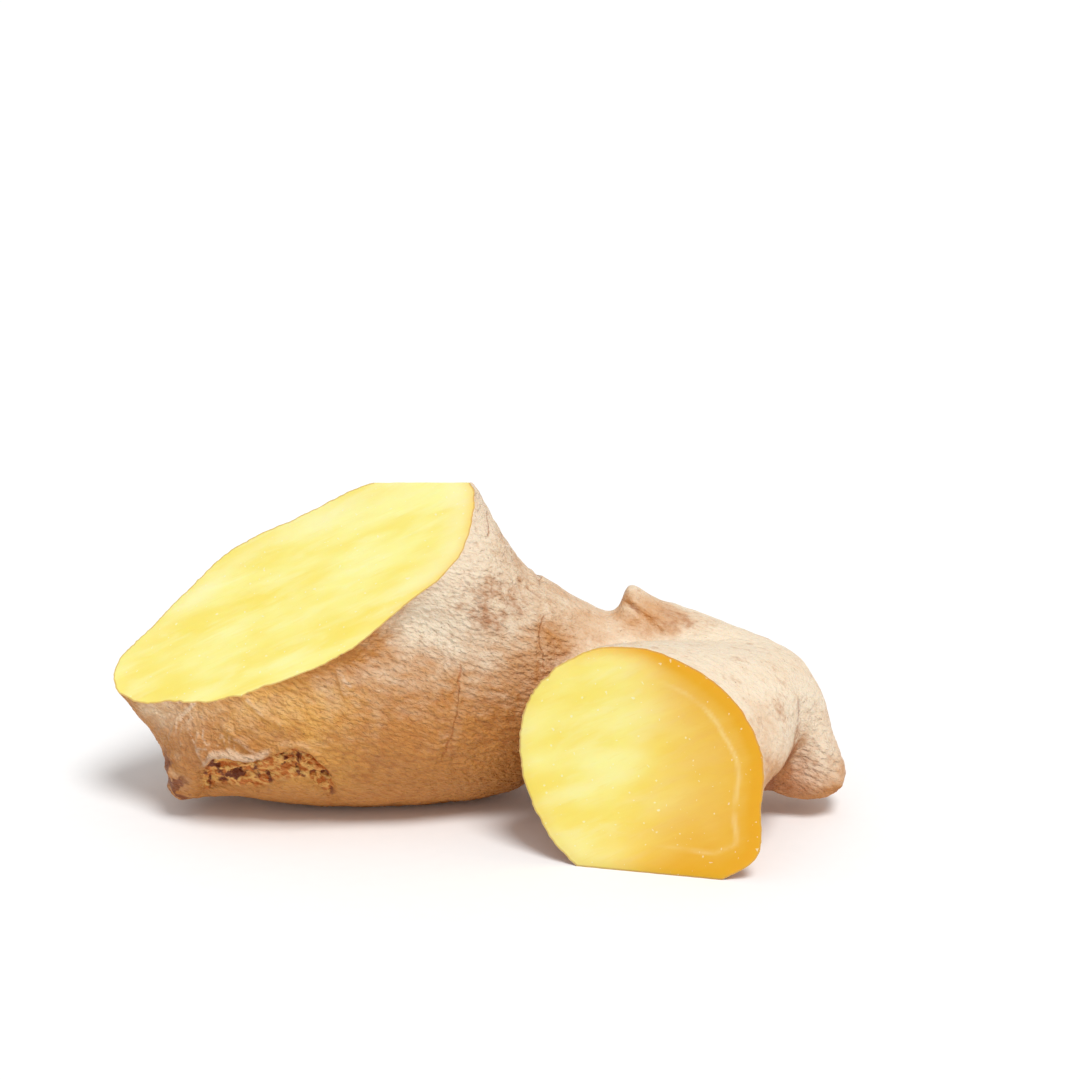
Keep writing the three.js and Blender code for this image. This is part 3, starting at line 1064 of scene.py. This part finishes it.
# painted shade along the creases and painted shadow past the lobe's edge
base = paint.blend(paint.step(paint.mark("groove"), 0.4, 0.9) * 0.6, base, colour(150, 84, 42))
print("skin paint:", len(skin.node_tree.nodes), "nodes with the colours")

# %% Add the ring lines and the torn and broken places
line = 1
for n, (point, facing, _, _, _) in enumerate(RINGS[1:]):
    line = line * paint.step(paint.across(point, facing, n + 1), 0.03, 0.24)
line = (1 - line) * paint.step(paint.mark("rings") + (blotchy - 0.5) * 2.0, 0.3, 0.8)
base = paint.blend(line * 0.55, base, colour(178, 98, 36))
raw = paint.blend(paint.step(coarse, 0.4, 0.6), colour(216, 128, 52), colour(250, 196, 112))
raw = paint.blend(paint.step(blotchy, 0.52, 0.62), raw, colour(124, 60, 26))
base = paint.blend(paint.step(paint.mark("torn"), 0.3, 0.8), base, raw)
# this dark brown holds the snapped end and a painted shadow under the torn lip
base = paint.blend(paint.step(paint.mark("broken_and_lip_shadow"), 0.15, 0.6) * 0.85, base, colour(138, 72, 36))
print("skin paint:", len(skin.node_tree.nodes), "nodes with the damage")

# %% Shade the valleys and finish the skin
shade = paint.blend(1.0, base, colour(208, 152, 96), "MULTIPLY")
base = paint.blend(valley * leathery * (0.2 + toasting_and_shading * 0.2), base, shade)
base = paint.blend(paint.step(specks, 0.72, 0.78) * 0.5, base, colour(140, 90, 55))
relief = leathery * (fine * 0.6 + coarse * 0.7 - pebbles * 0.4) + blotchy * 0.1 - line * 0.12
bump = paint.bump(relief, 1.0, 1.2)
paint.finish(
    {
        "Base Color": base,
        "Roughness": 0.46 + valley * 0.14 + (cloudy - 0.5) * 0.2,
        "Normal": bump,
        "Subsurface Weight": 0.1,
        "Subsurface Radius": (1.0, 0.5, 0.25),  # red light goes deepest
        "Subsurface Scale": 0.8 * MM,
        "Specular IOR Level": 0.4,
    }
)
print("skin paint finished:", len(skin.node_tree.nodes), "nodes")

# %% [markdown]
# ### The flesh
#
# Cut ginger is wet and full of light: bright yellow in the middle, deep gold under the skin, with pale
# fibre streaks. Light goes a few millimetres in, so the paint uses subsurface scattering.

# %% Paint the flesh
paint = Paint(flesh)
streak = paint.grain((11, 2.6, 2.6), (20, -22, 0), detail=4, warp=0.5)
blotch = paint.grain((20, 8, 8), (20, -18, 0), detail=2)
thread = paint.grain((5, 0.5, 0.5), (20, -24, 0), detail=2)
dots = paint.grain((0.7, 0.7, 0.7), detail=0)
cut_colour = paint.blend(paint.step(blotch, 0.3, 0.72), colour(250, 228, 110), colour(254, 243, 158))
cut_colour = paint.blend(paint.step(streak, 0.42, 0.75) * 0.4, cut_colour, colour(255, 248, 186))
cut_colour = paint.blend(paint.step(thread, 0.55, 0.75) * 0.15, cut_colour, colour(244, 214, 84))
deep = paint.mark("gold") + (streak - 0.5) * 0.2
cut_colour = paint.blend(paint.step(deep, 0.05, 0.95), cut_colour, colour(233, 174, 24))
cut_colour = paint.blend(paint.mark("pale") * 0.55, cut_colour, colour(254, 243, 190))
cut_colour = paint.blend(paint.step(dots, 0.79, 0.83) * 0.5, cut_colour, colour(255, 250, 225))
at_rim = paint.step(paint.mark("rim_cm"), 0.045, 0.015)
cut_colour = paint.blend(at_rim * 0.7, cut_colour, colour(206, 150, 84))
bump = paint.bump(thread + streak, 0.3, 0.1)
paint.finish(
    {
        "Base Color": cut_colour,
        "Roughness": 0.42 + (streak - 0.5) * 0.3,
        "Normal": bump,
        "Subsurface Weight": 0.5,
        "Subsurface Radius": (1.0, 0.7, 0.25),
        "Subsurface Scale": 2.5 * MM,
        "Specular IOR Level": 0.4,
    }
)
print("flesh paint finished:", len(flesh.node_tree.nodes), "nodes")

# %% [markdown]
# ## The table
#
# The root lies on a plain white table. It is far wider than the view, so that no edge shows.

# %% Lay the table
bpy.ops.mesh.primitive_plane_add(size=8.0)
table = bpy.context.object
table.name = "table"
paper = bpy.data.materials.new("white_paper")
paint = Paint(paper)
paper_grain = paint.grain((3, 3, 3), detail=2)
white = paint.blend(paper_grain, colour(249, 249, 249), colour(252, 252, 252))
paint.finish({"Base Color": white, "Roughness": 0.9, "Specular IOR Level": 0.1})
table.data.materials.append(paper)
print("table", tuple(round(side, 1) for side in table.dimensions), "m")

# %% [markdown]
# ## The light
#
# A white studio is bright from all sides with one soft light from above. A sun lamp with a wide disc
# gives the soft shadow, and a white world gives the rest. Area lamps would do too, but their distance
# would matter.

# %% Light the studio
SUN_STRENGTH, SKY_STRENGTH = 2.0, 0.52
SUN_DISC = math.radians(24)
SUN_TURN = (math.radians(20), math.radians(15), 0)
sun_light = bpy.data.lights.new("soft_sun", "SUN")
sun_light.energy = SUN_STRENGTH
sun_light.angle = SUN_DISC
sun = bpy.data.objects.new("soft_sun", sun_light)
sun.rotation_euler = SUN_TURN
bpy.context.scene.collection.objects.link(sun)
world = bpy.data.worlds.new("white_room")
world.use_nodes = True
sky = world.node_tree.nodes["Background"]
sky.inputs["Color"].default_value = (1, 1, 1, 1)
sky.inputs["Strength"].default_value = SKY_STRENGTH
bpy.context.scene.world = world
bpy.context.scene.view_settings.view_transform = "Standard"
print("sun", SUN_STRENGTH, "sky", SKY_STRENGTH)

# %% [markdown]
# ## The camera
#
# The camera stands in front of the root with a long lens, looking down by twenty degrees, so the root
# keeps its proportions. Its place is in the drawing's millimetres, and moves with the drawing.

# %% Set up the camera
CAMERA_PLACE = (13.094, -558.716, 264.35)  # mm, in the drawing
lens = bpy.data.cameras.new("camera")
lens.lens = 100
lens.sensor_width = 36
camera = bpy.data.objects.new("camera", lens)
camera.location = Vector(CAMERA_PLACE) * MM + Vector(OFFSET * MM)
camera.rotation_euler = (math.radians(90 - LOOKING_DOWN), 0, 0)
bpy.context.scene.collection.objects.link(camera)
bpy.context.scene.camera = camera
print("camera at", tuple(round(c, 3) for c in camera.location), "m")
